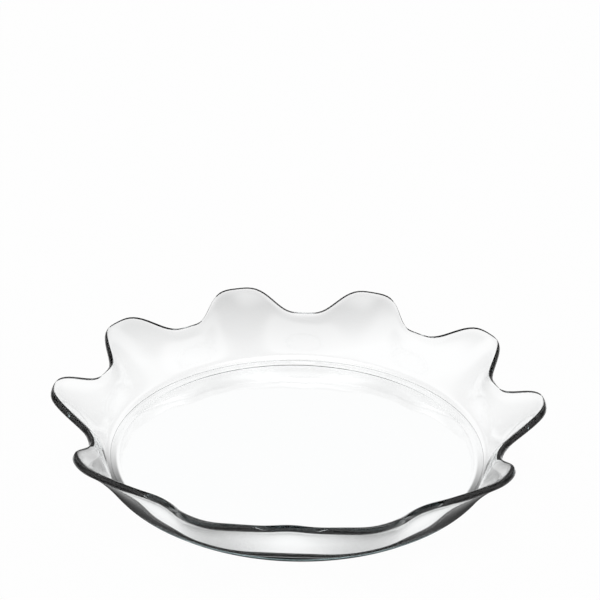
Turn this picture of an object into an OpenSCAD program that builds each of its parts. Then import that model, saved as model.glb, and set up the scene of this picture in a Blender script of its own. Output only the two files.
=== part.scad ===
// Scalloped dessert plate of clear pressed glass.
// The origin is at the middle of the foot's underside, with +Z up and the tip of a lobe on +X.
// All lengths are in millimetres and all angles in degrees.

/* [Rim] */
// Diameter across the tips of the lobes
tip_d = 200; // [190:1:240]
// Height of the tips of the lobes above the table
tip_h = 28.4; // [25:0.1:40]
// Number of lobes round the rim
lobes = 10; // [6:1:14]
// How far the notches between the lobes lie inside the tips, along the radius
notch_cut = 13.8; // [2:0.1:16]
// How far the notches lie below the tips
notch_drop = 6.5; // [1:0.1:10]
// Length of wall over which the lip's inner side rolls outward
lip_roll = 3.5; // [1.5:0.1:5]
// Rounding of the lip's outer edge, along the wall
lip_edge = 1; // [0.3:0.1:1.4]
// Slope of the lip at the tips, above level
tip_slope = 40; // [30:1:55]
// Slope of the lip in the notches, above level
notch_slope = 50; // [40:1:65]

/* [Wall] */
// Thickness of the wall at the rim
wall_t = 2.8; // [2:0.1:4]
// Slope of the wall where it leaves the floor below the notches, above level
notch_base = 60; // [50:1:70]
// Slope of the wall where it leaves the floor below the tips, above level
tip_base = 53; // [45:1:70]
// Radius of the inner fillet between the floor and the wall
fillet_r = 3; // [1:0.1:6]

/* [Floor] */
// Thickness of the floor above the height of the foot ring
floor_t = 2.7; // [2:0.1:4]
// Diameter of the foot ring
foot_d = 153; // [140:1:160]
// Width of the foot ring
foot_w = 4; // [2:0.1:10]
// Height of the foot ring's outer side
foot_h = 0.95; // [0.5:0.05:2]
// How far the foot ring stands outside the flat of the floor
foot_lead = 1; // [0.5:0.1:2]
// Rounding of the foot ring's outer edge
foot_edge = 0.15; // [0.05:0.05:0.45]
// Width of the bevel inside the foot ring
bevel_w = 0.8; // [0.4:0.1:1.5]
// Slope of that bevel, below level
bevel_slope = 10; // [5:1:20]
// Length over which the underside arches down to the bevel
foot_arch = 9; // [4:0.5:30]
// Slope of the arch where it meets the bevel, below level
arch_slope = 3; // [1:0.5:4]

/* [Hidden] */

// Smoothness: columns in a lobe, and rings along each stretch of the outline
lobe_cols = 16;
fillet_rings = 3;
wall_rings = 8;
roll_rings = 4;
edge_rings = 3;
heel_rings = 3;
arch_rings = 8;

// Share of the wave's third overtone: below nought it flattens the tips and the notches
reach_overtone = -0.075;
height_overtone = -0.145;
// Lengths of the wall curve's lower and upper handles as shares of its span
base_handle = 0.2;
lip_handle = 0.45;
// Share of the wall's thickness that the lip's inner side rolls through
lip_share = 0.3;
// How far a cutter runs past the face that it cuts, and the faces round a turned shape
cut_past = 1;
round_faces = 160;
glass = [0.88, 0.93, 0.93, 0.4];

foot_r = foot_d / 2;
floor_r = foot_r - foot_lead;
floor_z = foot_h + floor_t;
// Radius of the outer curve under the fillet, and where it meets the foot
heel_r = fillet_r + floor_t;
heel_start = asin(foot_lead / heel_r);
fillet_centre = [floor_r, floor_z + fillet_r];
// Parts of the wall's thickness that the roll and the edge of the lip go through
roll_t = lip_share * wall_t;
edge_t = wall_t - roll_t;
// Radius of the recess, the outer end of its arch, the arch's radius, and the height of the recess
recess_r = foot_r - foot_w;
arch_end = [recess_r - bevel_w, bevel_w * tan(bevel_slope)];
arch_r = foot_arch / sin(arch_slope);
recess_h = arch_end[1] + arch_r * (1 - cos(arch_slope));
cols = lobes * lobe_cols;

// Wave that runs from 0 in a notch to 1 at a tip
function wave(turn, overtone) =
    0.5 + 0.5 * (cos(lobes * turn) + overtone * cos(3 * lobes * turn)) / (1 + overtone);

// How far the rim reaches out and up, as [radius, height], and the slopes of the lip and of the wall's base there
function rim_reach(turn) = [
    tip_d / 2 - notch_cut * (1 - wave(turn, reach_overtone)),
    tip_h - notch_drop * (1 - wave(turn, height_overtone))
];
function lip_slope(turn) =
    notch_slope + (tip_slope - notch_slope) * wave(turn, reach_overtone);
function base_slope(turn) =
    notch_base + (tip_base - notch_base) * wave(turn, reach_overtone);

// Direction along a slope, and the outward direction square to it
function along(slope) = [cos(slope), sin(slope)];
function outward(slope) = [sin(slope), -cos(slope)];

// How far the lip stands out of the end of the wall's inner side, as [radius, height]
function lip_reach(slope) = [
    roll_t * sin(slope) + (lip_roll - lip_edge) * cos(slope)
        + norm([edge_t * sin(slope), lip_edge * cos(slope)]),
    norm([roll_t * cos(slope), lip_roll * sin(slope)]) - roll_t * cos(slope)
];

// Handles of the wall's inner curve, from the fillet's end to the lip
function wall_handles(turn) =
    let (
        base = base_slope(turn),
        slope = lip_slope(turn),
        start = fillet_centre + fillet_r * outward(base),
        end = rim_reach(turn) - lip_reach(slope),
        span = norm(end - start)
    )
    [start, start + base_handle * span * along(base), end - lip_handle * span * along(slope), end];

// Point and slope at share s of a curve with four handles
function curve_point(h, s) =
    pow(1 - s, 3) * h[0] + 3 * pow(1 - s, 2) * s * h[1] + 3 * (1 - s) * s * s * h[2] + pow(s, 3) * h[3];
function curve_slope(h, s) =
    let (d = pow(1 - s, 2) * (h[1] - h[0]) + 2 * (1 - s) * s * (h[2] - h[1]) + s * s * (h[3] - h[2]))
    atan2(d[1], d[0]);
function wall_thickness(s) = floor_t + (wall_t - floor_t) * s;

// Stretches of the plate's outline at one turn, each a list of [radius, height]
function fillet(base) = [
    for (i = [0 : fillet_rings])
        let (a = base * i / fillet_rings)
        fillet_centre + fillet_r * outward(a)
];
function inner_wall(h) = [
    for (i = [1 : wall_rings])
        curve_point(h, i / wall_rings)
];
function lip(h) =
    let (slope = curve_slope(h, 1))
    [
        for (i = [1 : roll_rings])
            let (a = 90 * i / roll_rings)
            h[3] + roll_t * (1 - cos(a)) * outward(slope) + lip_roll * sin(a) * along(slope),
        for (i = [1 : edge_rings])
            let (a = 90 * i / edge_rings)
            h[3] + (roll_t + edge_t * sin(a)) * outward(slope)
                + (lip_roll - lip_edge * (1 - cos(a))) * along(slope)
    ];
function outer_wall(h) = [
    for (i = [wall_rings : -1 : 1])
        let (s = i / wall_rings)
        curve_point(h, s) + wall_thickness(s) * outward(curve_slope(h, s))
];
function heel(base) = [
    for (i = [0 : heel_rings])
        let (a = base + (heel_start - base) * i / heel_rings)
        fillet_centre + heel_r * outward(a)
];
function foot() = [
    [foot_r, foot_edge],
    [foot_r - foot_edge, 0]
];

// Whole outline, from the edge of the floor over the rim to the underside of the foot
function outline(turn) =
    let (base = base_slope(turn), h = wall_handles(turn))
    concat(fillet(base), inner_wall(h), lip(h), outer_wall(h), heel(base), foot());

// Solid lofted through the outlines round the plate, with flat faces across the floor and the underside
module lofted_plate() {
    outlines = [for (c = [0 : cols - 1]) outline(360 * c / cols)];
    rings = len(outlines[0]);
    points = [
        for (c = [0 : cols - 1], p = outlines[c])
            let (turn = 360 * c / cols)
            [p[0] * cos(turn), p[0] * sin(turn), p[1]]
    ];
    skin = [
        for (c = [0 : cols - 1], k = [0 : rings - 2])
            let (a = c * rings + k, b = ((c + 1) % cols) * rings + k)
            each [[a, a + 1, b], [b, a + 1, b + 1]]
    ];
    floor_face = [for (c = [cols - 1 : -1 : 0]) c * rings];
    base_face = [for (c = [0 : cols - 1]) c * rings + rings - 1];
    polyhedron(points, concat(skin, [floor_face, base_face]));
}

// Shallow recess under the floor, which leaves the foot ring standing and arches down to its bevel
module recess() {
    arch = [
        for (i = [0 : arch_rings])
            let (a = arch_slope * i / arch_rings)
            arch_end + arch_r * [sin(a) - sin(arch_slope), cos(a) - cos(arch_slope)]
    ];
    rotate_extrude($fn = round_faces)
        polygon(concat([[0, -cut_past], [0, recess_h]], arch, [[recess_r, 0], [recess_r, -cut_past]]));
}

module plate() {
    color(glass)
        difference() {
            lofted_plate();
            recess();
        }
}

plate();
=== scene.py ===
"""Scalloped dessert plate of clear pressed glass, dressed for its picture on the packed frame.

Lengths are in metres, as in the frame.
"""
import math

import bmesh
import bpy
from mathutils import Euler, Matrix, Vector


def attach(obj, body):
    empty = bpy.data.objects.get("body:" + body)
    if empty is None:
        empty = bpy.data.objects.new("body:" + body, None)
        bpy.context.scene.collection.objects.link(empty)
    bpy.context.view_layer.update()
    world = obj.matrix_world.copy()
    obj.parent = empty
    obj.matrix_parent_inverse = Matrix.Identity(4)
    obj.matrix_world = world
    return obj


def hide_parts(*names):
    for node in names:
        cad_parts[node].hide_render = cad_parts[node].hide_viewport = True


bl_info = {
    "name": "Scalloped dessert plate",
    "version": (1, 0, 0),
    "blender": (4, 5, 0),
    "location": "View3D > Sidebar > Plate",
    "description": "Models a clear glass plate with a scalloped rim and sets the stage for its picture",
    "category": "Object",
}

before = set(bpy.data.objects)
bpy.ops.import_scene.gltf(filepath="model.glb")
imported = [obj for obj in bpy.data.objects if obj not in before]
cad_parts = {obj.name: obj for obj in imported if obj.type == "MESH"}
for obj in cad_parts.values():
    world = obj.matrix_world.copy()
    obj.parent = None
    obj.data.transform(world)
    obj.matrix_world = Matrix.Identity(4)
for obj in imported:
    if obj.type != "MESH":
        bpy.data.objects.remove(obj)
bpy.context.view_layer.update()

# Faces along each stretch of the outline
FILLET_STEPS = 10
WALL_STEPS = 24
ROLL_STEPS = 16
EDGE_STEPS = 10
HEEL_STEPS = 8
FOOT_STEPS = 4
ARCH_STEPS = 14

# Radii of the rings on the flats of the floor and of the underside
HUB_R = 0.012
FLOOR_RINGS = (HUB_R, 0.04, 0.065)
BASE_RINGS = (0.05, 0.03, HUB_R)
# Radius that takes in the innermost rings and no others
HUB_PICK = 0.013
# Widths of the narrow rings beside the fillet and the recess, which keep the shading of the flats even
FLOOR_BAND = 0.0006
FOOT_BAND = 0.0003

# Side of the small plane that a mesh or an outline starts from
SEED_SIZE = 0.001
# Distances within which vertices are merged, or count as lying on a circle
MERGE_GAP = 1e-6
CIRCLE_GAP = 1e-5
SMOOTH_ANGLE = math.radians(30)

# Scales of the patterns in the glass
RIPPLE_SCALE = 45.0
SCUFF_SCALE = 900.0
# Levels of the scuff pattern between which the rub sets in, and heights between which it ends
SCUFF_LOW = 0.35
SCUFF_HIGH = 0.7
RUB_LOW = 0.00002
RUB_HIGH = 0.00012

WHITE = (1, 1, 1, 1)
FLOOR_ROUGHNESS = 0.9
# Distance to the right over which the pool of light brightens, and width of the shade's inner edge
POOL_RIGHT_X = 0.06
SHADE_EDGE = 0.001
# Width of the camera's sensor in millimetres, and the nearest distance that it sees
SENSOR_W = 36
CLIP_START = 0.01


# Sizes and looks that a user would change

def length(name, text, default):
    """A length property in metres."""
    return bpy.props.FloatProperty(
        name=name, description=text, default=default, unit="LENGTH", precision=5)


def angle(name, text, default):
    """An angle property whose default is given in degrees."""
    return bpy.props.FloatProperty(
        name=name, description=text, default=math.radians(default), unit="ROTATION", precision=3)


def share(name, text, default):
    """A plain number property."""
    return bpy.props.FloatProperty(name=name, description=text, default=default, precision=4)


def colour(name, text, default):
    """A colour property."""
    return bpy.props.FloatVectorProperty(
        name=name, description=text, default=default, size=3, subtype="COLOR", min=0.0, max=1.0)


class PlateSizes(bpy.types.PropertyGroup):
    """Sizes of the glass, the same as the solid's."""

    lobes: bpy.props.IntProperty(name="Lobes", description="Number of lobes round the rim", default=10)
    tip_r: length("Tip radius", "Radius of the rim at the tips of the lobes", 0.1)
    tip_h: length("Tip height", "Height of the tips above the table", 0.0284)
    notch_cut: length("Notch cut", "How far the notches lie inside the tips", 0.0138)
    notch_drop: length("Notch drop", "How far the notches lie below the tips", 0.0065)
    lip_roll: length("Lip roll", "Length over which the lip's inner side rolls outward", 0.0035)
    lip_edge: length("Lip edge", "Rounding of the lip's outer edge, along the wall", 0.001)
    lip_share: share("Lip share", "Share of the wall's thickness that the roll goes through", 0.3)
    tip_slope: angle("Tip slope", "Slope of the lip at the tips", 40)
    notch_slope: angle("Notch slope", "Slope of the lip in the notches", 50)
    reach_overtone: share("Reach overtone", "Third overtone of the rim's wave in radius", -0.075)
    height_overtone: share("Height overtone", "Third overtone of the rim's wave in height", -0.145)
    base_handle: share("Base handle", "The wall curve's lower handle as a share of its span", 0.2)
    lip_handle: share("Lip handle", "The wall curve's upper handle as a share of its span", 0.45)
    wall_t: length("Wall thickness", "Thickness of the wall at the rim", 0.0028)
    notch_base: angle("Notch base", "Slope of the wall where it leaves the floor below the notches", 60)
    tip_base: angle("Tip base", "Slope of the wall where it leaves the floor below the tips", 53)
    fillet_r: length("Fillet", "Radius of the inner fillet between floor and wall", 0.003)
    floor_t: length("Floor thickness", "Thickness of the floor above the foot ring's height", 0.0027)
    foot_r: length("Foot radius", "Outer radius of the foot ring", 0.0765)
    foot_w: length("Foot width", "Width of the foot ring", 0.004)
    foot_h: length("Foot height", "Height of the foot ring's outer side", 0.00095)
    foot_lead: length("Foot lead", "How far the foot stands outside the flat of the floor", 0.001)
    foot_edge: length("Foot edge", "Rounding of the foot's outer edge", 0.00015)
    bevel_w: length("Bevel width", "Width of the bevel inside the foot ring", 0.0008)
    bevel_slope: angle("Bevel slope", "Slope of that bevel, below level", 10)
    foot_arch: length("Foot arch", "Length over which the underside arches down to the bevel", 0.009)
    arch_slope: angle("Arch slope", "Slope of the arch where it meets the bevel, below level", 3)
    half_cols: bpy.props.IntProperty(
        name="Columns", description="Columns of faces in half a lobe", default=18, min=4, max=40)


class GlassLook(bpy.types.PropertyGroup):
    """Look of the clear pressed glass."""

    tint: colour("Tint", "Colour that thick glass takes", (0.82, 0.93, 0.94))
    depth: share("Depth of tint", "How fast the tint grows on the way through, per metre", 14.0)
    ior: share("Refraction", "Index of refraction", 1.5)
    polish: share("Polish", "Roughness of the fire-polished faces", 0.0)
    rub: share("Rub", "Roughness where the foot is rubbed by tables", 0.12)
    ripple: length("Ripple", "Height of the faint ripple that the mould leaves", 0.00002)


class StageLook(bpy.types.PropertyGroup):
    """Floor, light and camera of the picture."""

    camera_d: length("Camera distance", "Distance of the camera from the plate's middle", 0.786)
    camera_h: length("Aim height", "Height of the point that the distance is measured from", 0.0025)
    camera_e: angle("Camera elevation", "How high the camera stands above the table", 31.31)
    camera_tilt: angle("Camera tilt", "How far the camera looks below level", 26.84)
    camera_roll: angle("Camera roll", "Roll of the camera about its line of sight", 1.09)
    camera_turn: angle("Camera turn", "Turn of the camera about the plate, from the front", 1.37)
    camera_lens: share("Lens", "Focal length of the lens in millimetres", 114.83)
    floor_size: length("Floor size", "Side of the floor", 8.0)
    floor_gap: length("Floor gap", "How far the floor lies below the foot, to keep them apart", 0.00005)
    floor_colour: colour("Floor colour", "Colour of the floor", (0.9, 0.9, 0.9))
    floor_lit: share("Lit share", "Share of the floor's look to the camera that takes shadows", 0.03)
    # The pool of light is painted into the floor's glow, and only the glass shows it
    pool_r0: length("Pool inside", "Radius out to which the pool of light on the floor is full", 0.085)
    pool_r1: length("Pool middle", "Radius where the pool has faded to its middle level", 0.14)
    pool_r2: length("Pool outside", "Radius where the pool ends", 0.26)
    pool_wide: share("Pool width", "How much wider than deep the pool of light is", 1.8)
    pool_0: share("Pool level", "Level of the pool of light under the plate", 1.0)
    pool_1: share("Pool middle level", "Level of the pool at its middle radius", 0.74)
    pool_2: share("Pool outside level", "Level of the floor outside the pool", 0.3)
    pool_right: share("Pool right", "How much brighter the pool of light is to the right", 0.12)
    # The plate's shade is a painted shadow in the floor's glow, and only the glass shows it
    shade_in: length("Shade inside", "Inner radius of the plate's shade on the near side", 0.0732)
    shade_out: length("Shade outside", "Radius where the plate's shade starts to fade", 0.082)
    shade_fade: length("Shade fade", "Length over which the shade fades outward", 0.012)
    shade_y0: length("Shade front", "Place along Y where the shade is full", -0.036)
    shade_y1: length("Shade end", "Place along Y where the shade has gone", 0.01)
    shade_l: share("Shade", "How dark the plate's shade is at the front", 1.0)
    shade_side: share("Side shade", "Share of the shade that is left at the sides", 0.95)
    shade_x0: length("Shade middle", "Half the width over which the shade is full", 0.03)
    shade_x1: length("Shade sides", "Half the width where the shade has thinned", 0.06)
    room: share("Room", "Level of the dim room round the stage", 0.012)
    front_l: share("Front card", "Level of the white card behind the camera", 1.0)
    front_z0: share("Front card foot", "Sine of the elevation where the front card starts", -0.3)
    front_z1: share("Front card low", "Sine of the elevation where the front card is full", -0.1)
    front_z2: share("Front card high", "Sine of the elevation where the front card starts to fade", 0.5)
    front_z3: share("Front card top", "Sine of the elevation where the front card ends", 0.75)
    front_lean: share("Front card lean", "How much higher the card's top is on the left", 0.2)
    back_l: share("Back card", "Level of the white card behind the plate", 0.9)
    back_low: share("Back level", "Level of the surroundings below the back card", 0.25)
    back_z0: share("Back card foot", "Sine of the elevation where the back card starts", 0.3)
    back_z1: share("Back card low", "Sine of the elevation where the back card is full", 0.45)
    back_z2: share("Back card high", "Sine of the elevation where the back card starts to fade", 0.58)
    back_z3: share("Back card top", "Sine of the elevation where the back card ends", 0.72)
    split: share("Card overlap", "Half the width over which the two cards meet at the sides", 0.3)
    top_l: share("Softbox", "Level of the soft light above the plate", 2.5)
    top_in: angle("Softbox core", "Half angle of the soft light's full part", 2)
    top_out: angle("Softbox edge", "Half angle where the soft light has faded", 33)


def sizes():
    """Sizes of the plate in this scene."""
    return bpy.context.scene.plate_sizes


def glass_look():
    """Look of the glass in this scene."""
    return bpy.context.scene.plate_glass


def stage_look():
    """Look of the stage in this scene."""
    return bpy.context.scene.plate_stage


# Outline of the plate, each point as (radius, height)

def along(slope):
    """Direction up a slope."""
    return Vector((math.cos(slope), math.sin(slope)))


def outward(slope):
    """Direction square to a slope, out of the plate."""
    return Vector((math.sin(slope), -math.cos(slope)))


def wave(turn, overtone):
    """Wave that runs from 0 in a notch to 1 at a tip, with a share of its third overtone."""
    phase = sizes().lobes * turn
    return 0.5 + 0.5 * (math.cos(phase) + overtone * math.cos(3 * phase)) / (1 + overtone)


def steps(start, end, count):
    """Even steps from start to end, both included."""
    return [start + (end - start) * i / count for i in range(count + 1)]


def fillet_centre():
    """Centre of the fillet between the floor and the wall."""
    size = sizes()
    return Vector((size.foot_r - size.foot_lead, size.foot_h + size.floor_t + size.fillet_r))


def lip_layers():
    """Parts of the wall's thickness that the roll and the edge of the lip go through."""
    size = sizes()
    roll_t = size.lip_share * size.wall_t
    return roll_t, size.wall_t - roll_t


def lip_reach(slope):
    """How far the lip stands out of the end of the wall's inner side."""
    size = sizes()
    roll_t, edge_t = lip_layers()
    return Vector((
        roll_t * math.sin(slope) + (size.lip_roll - size.lip_edge) * math.cos(slope)
        + math.hypot(edge_t * math.sin(slope), size.lip_edge * math.cos(slope)),
        math.hypot(roll_t * math.cos(slope), size.lip_roll * math.sin(slope))
        - roll_t * math.cos(slope)))


def wall_curve(turn):
    """Handles of the wall's inner curve at one turn, and the slopes of its lip and of its base."""
    size = sizes()
    reach = wave(turn, size.reach_overtone)
    rise = wave(turn, size.height_overtone)
    slope = size.notch_slope + (size.tip_slope - size.notch_slope) * reach
    base = size.notch_base + (size.tip_base - size.notch_base) * reach
    top = Vector((
        size.tip_r - size.notch_cut * (1 - reach), size.tip_h - size.notch_drop * (1 - rise)))
    start = fillet_centre() + size.fillet_r * outward(base)
    end = top - lip_reach(slope)
    span = (end - start).length
    low = start + size.base_handle * span * along(base)
    high = end - size.lip_handle * span * along(slope)
    return (start, low, high, end), slope, base


def curve_point(handles, t):
    """Point at share t of a curve with four handles."""
    start, low, high, end = handles
    return (1 - t) ** 3 * start + 3 * (1 - t) ** 2 * t * low + 3 * (1 - t) * t * t * high + t ** 3 * end


def curve_slope(handles, t):
    """Slope at share t of a curve with four handles."""
    start, low, high, end = handles
    way = (1 - t) ** 2 * (low - start) + 2 * (1 - t) * t * (high - low) + t * t * (end - high)
    return math.atan2(way[1], way[0])


def inner_wall(handles):
    """Stretch up the inside of the wall."""
    return [curve_point(handles, t) for t in steps(0, 1, WALL_STEPS)[1:]]


def lip(end, slope):
    """Stretch over the lip's roll and then its outer edge, in steps that turn the face evenly."""
    size = sizes()
    roll_t, edge_t = lip_layers()
    points = []
    for turned in steps(0, math.pi / 2, ROLL_STEPS)[1:]:
        a = math.atan2(size.lip_roll * math.sin(turned), roll_t * math.cos(turned))
        across = roll_t * (1 - math.cos(a))
        up = size.lip_roll * math.sin(a)
        points.append(end + across * outward(slope) + up * along(slope))
    for turned in steps(0, math.pi / 2, EDGE_STEPS)[1:]:
        a = math.atan2(edge_t * math.sin(turned), size.lip_edge * math.cos(turned))
        across = roll_t + edge_t * math.sin(a)
        up = size.lip_roll - size.lip_edge * (1 - math.cos(a))
        points.append(end + across * outward(slope) + up * along(slope))
    return points


def outer_wall(handles):
    """Stretch down the outside of the wall, a thickness away from the inside."""
    size = sizes()
    points = []
    for t in reversed(steps(0, 1, WALL_STEPS)[1:]):
        thick = size.floor_t + (size.wall_t - size.floor_t) * t
        points.append(curve_point(handles, t) + thick * outward(curve_slope(handles, t)))
    return points


def heel(base):
    """Stretch round the outside of the fillet down to the foot ring."""
    size = sizes()
    heel_r = size.fillet_r + size.floor_t
    heel_end = math.asin(size.foot_lead / heel_r)
    return [fillet_centre() + heel_r * outward(a) for a in steps(base, heel_end, HEEL_STEPS)]


def recess_radius():
    """Radius of the recess inside the foot ring."""
    return sizes().foot_r - sizes().foot_w


def foot_ring():
    """Stretch round the foot ring's outer edge and across the ring to the recess."""
    size = sizes()
    points = []
    for a in steps(0, math.pi / 2, FOOT_STEPS):
        points.append(Vector((
            size.foot_r - size.foot_edge * (1 - math.cos(a)), size.foot_edge * (1 - math.sin(a)))))
    for r in (size.foot_r - 2 * size.foot_edge, recess_radius() + FOOT_BAND, recess_radius()):
        points.append(Vector((r, 0)))
    return points


def underside():
    """Stretch up the bevel, along the arch and across the flat of the underside."""
    size = sizes()
    arch_end = Vector((recess_radius() - size.bevel_w, size.bevel_w * math.tan(size.bevel_slope)))
    arch_r = size.foot_arch / math.sin(size.arch_slope)
    points = []
    for a in steps(size.arch_slope, 0, ARCH_STEPS):
        points.append(arch_end + arch_r * Vector((
            math.sin(a) - math.sin(size.arch_slope), math.cos(a) - math.cos(size.arch_slope))))
    ceiling = points[-1][1]
    return points + [Vector((r, ceiling)) for r in BASE_RINGS]


def outline(turn):
    """Outline at one turn, from the middle of the floor over the rim to the middle of the underside."""
    size = sizes()
    handles, slope, base = wall_curve(turn)
    floor_r = size.foot_r - size.foot_lead
    floor_z = size.foot_h + size.floor_t
    points = [Vector((r, floor_z)) for r in (*FLOOR_RINGS, floor_r - FLOOR_BAND)]
    for a in steps(0, base, FILLET_STEPS):
        points.append(fillet_centre() + size.fillet_r * outward(a))
    points += inner_wall(handles) + lip(handles[3], slope) + outer_wall(handles)
    return points + heel(base) + foot_ring() + underside()


# Mesh work

def deselect_all():
    """Leaves no object selected or active."""
    bpy.ops.object.select_all(action="DESELECT")
    bpy.context.view_layer.objects.active = None


def pick(piece, test):
    """Selects the edited piece's vertices that pass the test, and the edges and faces between them."""
    bpy.ops.mesh.select_mode(type="VERT")
    bpy.ops.mesh.select_all(action="DESELECT")
    mesh = bmesh.from_edit_mesh(piece.data)
    for vertex in mesh.verts:
        if test(vertex):
            vertex.select = True
    mesh.select_flush_mode()
    bmesh.update_edit_mesh(piece.data)


def merge_all():
    """Merges the vertices that coincide, and selects the whole mesh."""
    bpy.ops.mesh.select_all(action="SELECT")
    bpy.ops.mesh.remove_doubles(threshold=MERGE_GAP)
    bpy.ops.mesh.select_all(action="SELECT")


def empty_piece(context, name):
    """Adds a piece that has no faces yet, in edit mode."""
    deselect_all()
    bpy.ops.mesh.primitive_plane_add(size=SEED_SIZE)
    piece = context.object
    piece.name = name
    bpy.ops.object.mode_set(mode="EDIT")
    bpy.ops.mesh.select_mode(type="VERT")
    bpy.ops.mesh.select_all(action="SELECT")
    bpy.ops.mesh.delete(type="VERT")
    return piece


def draw_outline(turn):
    """Draws one outline by extruding a point along it, in the plane of its turn."""
    points = [Vector((r * math.cos(turn), r * math.sin(turn), z)) for r, z in outline(turn)]
    bpy.ops.mesh.select_all(action="DESELECT")
    bpy.ops.mesh.primitive_plane_add(size=SEED_SIZE, location=points[0])
    bpy.ops.mesh.merge(type="CENTER")
    for before, after in zip(points, points[1:]):
        bpy.ops.mesh.extrude_vertices_move(TRANSFORM_OT_translate={"value": after - before})


def loft_half_lobe(piece):
    """Draws the outlines from a tip to a notch, and bridges each to the next."""
    cols = sizes().half_cols
    half = math.pi / sizes().lobes
    for i in range(cols + 1):
        draw_outline(half * i / cols)
    for i in range(cols):
        # Two outlines, with half a column of room on either side
        low = half * (i - 0.5) / cols
        high = half * (i + 1.5) / cols
        pick(piece, lambda v: low < math.atan2(v.co.y, v.co.x) < high)
        bpy.ops.mesh.bridge_edge_loops()


def copy_round():
    """Mirrors the half lobe, and copies the whole lobe round the axis."""
    lobes = sizes().lobes
    bpy.ops.mesh.select_mode(type="VERT")
    bpy.ops.mesh.select_all(action="SELECT")
    bpy.ops.mesh.duplicate()
    bpy.ops.transform.resize(value=(1, -1, 1), center_override=(0, 0, 0))
    merge_all()
    for _ in range(lobes - 1):
        bpy.ops.mesh.duplicate()
        bpy.ops.transform.rotate(value=2 * math.pi / lobes, orient_axis="Z", center_override=(0, 0, 0))
    merge_all()


def close_hubs(piece):
    """Closes the floor and the underside within their innermost rings."""
    middle = 0.5 * sizes().floor_t + sizes().foot_h
    for above in (True, False):
        pick(piece, lambda v: v.co.xy.length < HUB_PICK and (v.co.z > middle) == above)
        bpy.ops.mesh.edge_face_add()


def face_outward(piece):
    """Turns all faces of the closed piece outward."""
    bpy.ops.mesh.select_all(action="SELECT")
    bpy.ops.mesh.normals_make_consistent(inside=False)
    if bmesh.from_edit_mesh(piece.data).calc_volume(signed=True) < 0:
        bpy.ops.mesh.flip_normals()


def sharpen_recess(piece):
    """Keeps the edge between the foot ring and the arched recess crisp."""
    edge_r = recess_radius()
    pick(piece, lambda v: abs(v.co.xy.length - edge_r) < CIRCLE_GAP and abs(v.co.z) < CIRCLE_GAP)
    bpy.ops.mesh.mark_sharp()


class PLATE_OT_body(bpy.types.Operator):
    """Models the glass plate: half a lobe is lofted, mirrored, and copied round the axis"""

    bl_idname = "plate.body"
    bl_label = "Glass plate"

    def execute(self, context):
        piece = empty_piece(context, "glass_plate")
        loft_half_lobe(piece)
        copy_round()
        close_hubs(piece)
        face_outward(piece)
        sharpen_recess(piece)
        bpy.ops.object.mode_set(mode="OBJECT")
        bpy.ops.object.shade_smooth_by_angle(angle=SMOOTH_ANGLE, keep_sharp_edges=True)
        piece.data.materials.append(clear_glass())
        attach(piece, "root")
        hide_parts("plate")
        return {"FINISHED"}


# Materials

class Value:
    """An output of a node tree, so that shader maths on numbers reads as Python."""

    def __init__(self, nodes, socket):
        self.nodes = nodes
        self.socket = socket

    def maths(self, operation, *others):
        """Adds a Math node that works on this value and the others."""
        sockets = dict(enumerate((self, *others)))
        return self.nodes.node("ShaderNodeMath", {"operation": operation}, sockets)

    def __add__(self, other):
        return self.maths("ADD", other)

    def __sub__(self, other):
        return self.maths("SUBTRACT", other)

    def __rsub__(self, other):
        return self.nodes.node("ShaderNodeMath", {"operation": "SUBTRACT"}, {0: other, 1: self})

    def __mul__(self, other):
        return self.maths("MULTIPLY", other)

    __radd__ = __add__
    __rmul__ = __mul__

    def at_least(self, other):
        """The larger of two values."""
        return self.maths("MAXIMUM", other)

    def at_most(self, other):
        """The smaller of two values."""
        return self.maths("MINIMUM", other)

    def ramp(self, low, high, start, end, smooth=True):
        """Runs from start to end as the value goes from low to high, and stays there beyond."""
        kind = "SMOOTHSTEP" if smooth else "LINEAR"
        return self.nodes.node(
            "ShaderNodeMapRange", {"interpolation_type": kind},
            {"Value": self, "From Min": low, "From Max": high, "To Min": start, "To Max": end})


class Nodes:
    """A material's or world's node tree, filled in code."""

    def __init__(self, owner):
        owner.use_nodes = True
        self.tree = owner.node_tree
        self.tree.nodes.clear()

    def node(self, kind, settings, sockets, output=0):
        """Adds a node, sets it up, fills or links its sockets, and gives one of its outputs."""
        made = self.tree.nodes.new(kind)
        for name, value in settings.items():
            setattr(made, name, value)
        for name, value in sockets.items():
            if isinstance(value, Value):
                self.tree.links.new(value.socket, made.inputs[name])
            else:
                made.inputs[name].default_value = value
        return Value(self, made.outputs[output]) if made.outputs else None

    def axis(self, vector, name):
        """One coordinate of a vector."""
        return self.node("ShaderNodeSeparateXYZ", {}, {"Vector": vector}, name)

    def distance(self, vector):
        """Length of a vector."""
        return self.node("ShaderNodeVectorMath", {"operation": "LENGTH"}, {0: vector}, "Value")

    def ray(self, kind):
        """1 for rays of one kind, and 0 for others."""
        return self.node("ShaderNodeLightPath", {}, {}, f"Is {kind} Ray")


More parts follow.
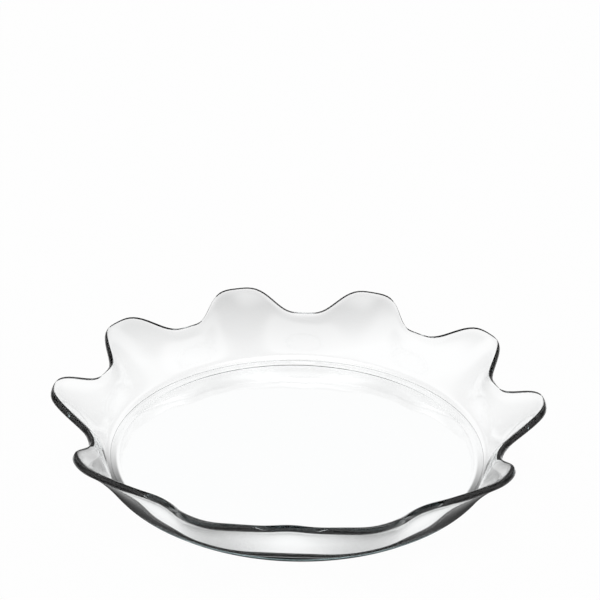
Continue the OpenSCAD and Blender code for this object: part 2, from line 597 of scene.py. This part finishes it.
def clear_glass():
    """Clear pressed glass: fire-polished, with a faint ripple from the mould and a rubbed foot."""
    look = glass_look()
    material = bpy.data.materials.new("clear_glass")
    nodes = Nodes(material)
    place = nodes.node("ShaderNodeTexCoord", {}, {}, "Object")
    ripple = nodes.node(
        "ShaderNodeTexNoise", {},
        {"Vector": place, "Scale": RIPPLE_SCALE, "Detail": 1.0, "Roughness": 0.4})
    bump = nodes.node(
        "ShaderNodeBump", {}, {"Height": ripple, "Strength": 1.0, "Distance": look.ripple}, "Normal")
    scuff = nodes.node(
        "ShaderNodeTexNoise", {}, {"Vector": place, "Scale": SCUFF_SCALE, "Detail": 3.0})
    foot = nodes.axis(place, "Z").ramp(RUB_LOW, RUB_HIGH, 1.0, 0.0)
    rough = foot * scuff.ramp(SCUFF_LOW, SCUFF_HIGH, 0.0, look.rub) + look.polish
    glass = nodes.node("ShaderNodeBsdfPrincipled", {}, {
        "Base Color": WHITE, "Roughness": rough, "IOR": look.ior,
        "Transmission Weight": 1.0, "Normal": bump})
    depth = nodes.node(
        "ShaderNodeVolumeAbsorption", {}, {"Color": (*look.tint, 1), "Density": look.depth})
    nodes.node("ShaderNodeOutputMaterial", {}, {"Surface": glass, "Volume": depth})
    return material


def light_pool(nodes, place):
    """Level of the painted pool of light on the floor, an oval that fades outward and brightens to the
    right.
    """
    look = stage_look()
    squash = (1 / look.pool_wide, 1, 1)
    oval = nodes.node("ShaderNodeVectorMath", {"operation": "MULTIPLY"}, {0: place, 1: squash}, "Vector")
    away = nodes.distance(oval)
    pool = away.ramp(look.pool_r0, look.pool_r1, look.pool_0, look.pool_1, False)
    pool = pool - away.ramp(look.pool_r1, look.pool_r2, 0.0, look.pool_1 - look.pool_2, False)
    right = nodes.axis(place, "X").ramp(0.0, POOL_RIGHT_X, 1.0, 1 + look.pool_right)
    return (pool * right).at_most(look.pool_0)


def plate_shade(nodes, place):
    """How dark the painted shadow of the plate is on the floor: a ring under the wall on the near side.
    """
    look = stage_look()
    away = nodes.distance(place)
    side = nodes.axis(place, "X").maths("ABSOLUTE")
    shade = away.ramp(look.shade_in, look.shade_in + SHADE_EDGE, 0.0, look.shade_l)
    shade = shade * away.ramp(look.shade_out, look.shade_out + look.shade_fade, 1.0, 0.0)
    shade = shade * nodes.axis(place, "Y").ramp(look.shade_y0, look.shade_y1, 1.0, 0.0)
    return shade * side.ramp(look.shade_x0, look.shade_x1, 1.0, look.shade_side)


def white_floor():
    """Pale floor: white to the camera, and to the glass a painted pool of light with a painted shadow of
    the plate in it.
    """
    look = stage_look()
    material = bpy.data.materials.new("white_floor")
    nodes = Nodes(material)
    place = nodes.node("ShaderNodeTexCoord", {}, {}, "Object")
    camera = nodes.ray("Camera")
    seen = camera.at_least(nodes.ray("Glossy")).at_least(nodes.ray("Transmission"))
    # Glossy and transmission rays see the painted light and shade, the camera plain white
    bright = (light_pool(nodes, place) * (1 - plate_shade(nodes, place))).at_least(camera)
    glow = nodes.node("ShaderNodeEmission", {}, {"Color": WHITE, "Strength": bright})
    matt = nodes.node(
        "ShaderNodeBsdfPrincipled", {},
        {"Base Color": (*look.floor_colour, 1), "Roughness": FLOOR_ROUGHNESS})
    mixed = nodes.node(
        "ShaderNodeMixShader", {}, {0: seen - camera * look.floor_lit, 1: matt, 2: glow})
    nodes.node("ShaderNodeOutputMaterial", {}, {"Surface": mixed})
    return material


def studio_world():
    """White to the camera, and to the glass two white cards, a soft light above and a dim room."""
    look = stage_look()
    world = bpy.data.worlds.new("studio")
    nodes = Nodes(world)
    way = nodes.node("ShaderNodeTexCoord", {}, {}, "Generated")
    up = nodes.axis(way, "Z")
    behind = nodes.axis(way, "Y").ramp(-look.split, look.split, 0.0, 1.0)
    back_card = up.ramp(look.back_z0, look.back_z1, look.back_low, look.back_l)
    back_card = back_card * up.ramp(look.back_z2, look.back_z3, 1.0, 0.0)
    leaning = up + nodes.axis(way, "X") * look.front_lean
    front_card = up.ramp(look.front_z0, look.front_z1, 0.0, look.front_l)
    front_card = front_card * leaning.ramp(look.front_z2, look.front_z3, 1.0, 0.0)
    softbox = up.ramp(math.cos(look.top_out), math.cos(look.top_in), 0.0, look.top_l)
    strength = back_card * behind + front_card * (1 - behind) + softbox + look.room
    bright = strength.at_least(nodes.ray("Camera"))
    glow = nodes.node("ShaderNodeBackground", {}, {"Color": WHITE, "Strength": bright})
    nodes.node("ShaderNodeOutputWorld", {}, {"Surface": glow})
    return world


# Stage

def add_floor(context):
    """Adds the floor just below the foot."""
    look = stage_look()
    bpy.ops.mesh.primitive_plane_add(size=look.floor_size, location=(0, 0, -look.floor_gap))
    floor = context.object
    floor.name = "floor"
    floor.data.materials.append(white_floor())


def add_camera(context):
    """Adds the camera at the photograph's place."""
    look = stage_look()
    bpy.ops.object.camera_add()
    camera = context.object
    camera.name = "picture_camera"
    camera.data.sensor_width = SENSOR_W
    camera.data.sensor_fit = "HORIZONTAL"
    camera.data.lens = look.camera_lens
    camera.data.clip_start = CLIP_START
    turn = Matrix.Rotation(look.camera_turn, 4, "Z")
    place = Matrix.Translation((
        0,
        -look.camera_d * math.cos(look.camera_e),
        look.camera_h + look.camera_d * math.sin(look.camera_e)))
    tilt = Euler((math.pi / 2 - look.camera_tilt, 0, 0)).to_matrix().to_4x4()
    roll = Matrix.Rotation(look.camera_roll, 4, "Z")
    camera.matrix_world = turn @ place @ tilt @ roll
    context.scene.camera = camera


class PLATE_OT_stage(bpy.types.Operator):
    """Adds the floor, the light and the camera of the picture"""

    bl_idname = "plate.stage"
    bl_label = "Stage"

    def execute(self, context):
        deselect_all()
        add_floor(context)
        context.scene.world = studio_world()
        context.scene.view_settings.view_transform = "Standard"
        add_camera(context)
        return {"FINISHED"}


class PLATE_PT_panel(bpy.types.Panel):
    """Lists the steps of the plate"""

    bl_idname = "PLATE_PT_panel"
    bl_label = "Scalloped plate"
    bl_space_type = "VIEW_3D"
    bl_region_type = "UI"
    bl_category = "Plate"

    def draw(self, context):
        layout = self.layout
        for operator in OPERATORS:
            layout.operator(operator.bl_idname)
        for name, group in GROUPS.items():
            layout.label(text=group.__doc__)
            for prop in group.__annotations__:
                layout.prop(getattr(context.scene, name), prop)


OPERATORS = (PLATE_OT_body, PLATE_OT_stage)
GROUPS = {"plate_sizes": PlateSizes, "plate_glass": GlassLook, "plate_stage": StageLook}


def register():
    """Registers the classes and the scene's property groups."""
    for cls in (*GROUPS.values(), *OPERATORS, PLATE_PT_panel):
        bpy.utils.register_class(cls)
    for name, group in GROUPS.items():
        setattr(bpy.types.Scene, name, bpy.props.PointerProperty(type=group))


def unregister():
    """Takes the property groups and the classes away again."""
    for name in GROUPS:
        delattr(bpy.types.Scene, name)
    for cls in reversed((*GROUPS.values(), *OPERATORS, PLATE_PT_panel)):
        bpy.utils.unregister_class(cls)


def main():
    """Registers the classes, and makes the piece and the stage."""
    register()
    bpy.ops.plate.body()
    bpy.ops.plate.stage()


if __name__ == "__main__":
    main()
